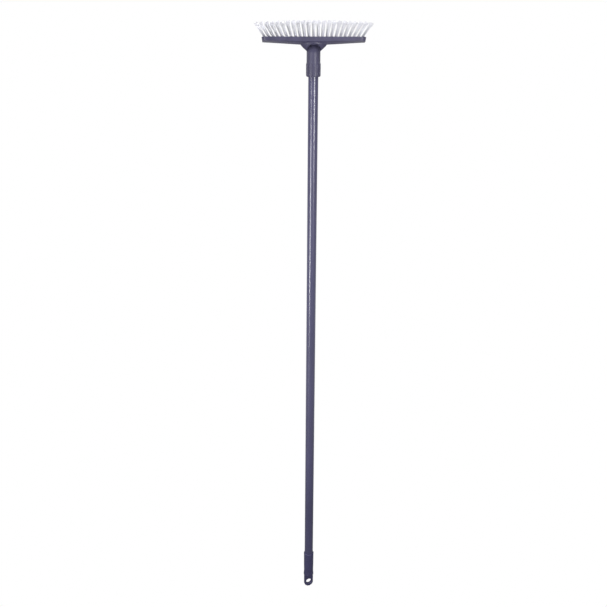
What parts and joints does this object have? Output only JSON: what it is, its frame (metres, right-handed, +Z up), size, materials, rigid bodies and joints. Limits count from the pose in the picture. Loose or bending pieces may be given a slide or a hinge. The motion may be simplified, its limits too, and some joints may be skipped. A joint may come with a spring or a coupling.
{
  "type": "long-handled brush",
  "caption": "Long-handled stiff brush: a narrow moulded head with fanned translucent tufts, screwed on a painted steel tube with a hanging cap.",
  "frame": {"origin": "centre of the hanging hole in the cap at the foot of the handle", "axes": "+Z up the handle to the head, +X along the length of the head, -Y the side to which the head's back turns"},
  "size_m": [0.2526, 0.0536, 1.4819],
  "materials": {
    "moulding": "dark grey-violet moulded polypropylene, satin with a fine grain",
    "tube_paint": "dark grey-violet paint on thin steel tube, semi-gloss",
    "cap_plastic": "dark grey-violet moulded plastic, satin",
    "ferrule_plastic": "black moulded plastic",
    "bristle": "clear-white translucent synthetic filament",
    "wire": "flat drawn wire"
  },
  "bodies": {
    "handle": {"handle_tube": "tube_paint", "hanging_cap": "cap_plastic", "threaded_ferrule": "ferrule_plastic"},
    "head": {"brush_head": "moulding", "tuft_row_1": "bristle", "tuft_row_2": "bristle", "tuft_row_3": "bristle", "tuft_row_4": "bristle", "tuft_row_5": "bristle", "anchor_wires_row_1": "wire", "anchor_wires_row_2": "wire", "anchor_wires_row_3": "wire", "anchor_wires_row_4": "wire", "anchor_wires_row_5": "wire"}
  },
  "joints": [
    {"name": "head_off_handle", "type": "slide", "parent": "handle", "child": "head", "axis": [0, 0, 1], "range_m": [0, 0.08]}
  ]
}
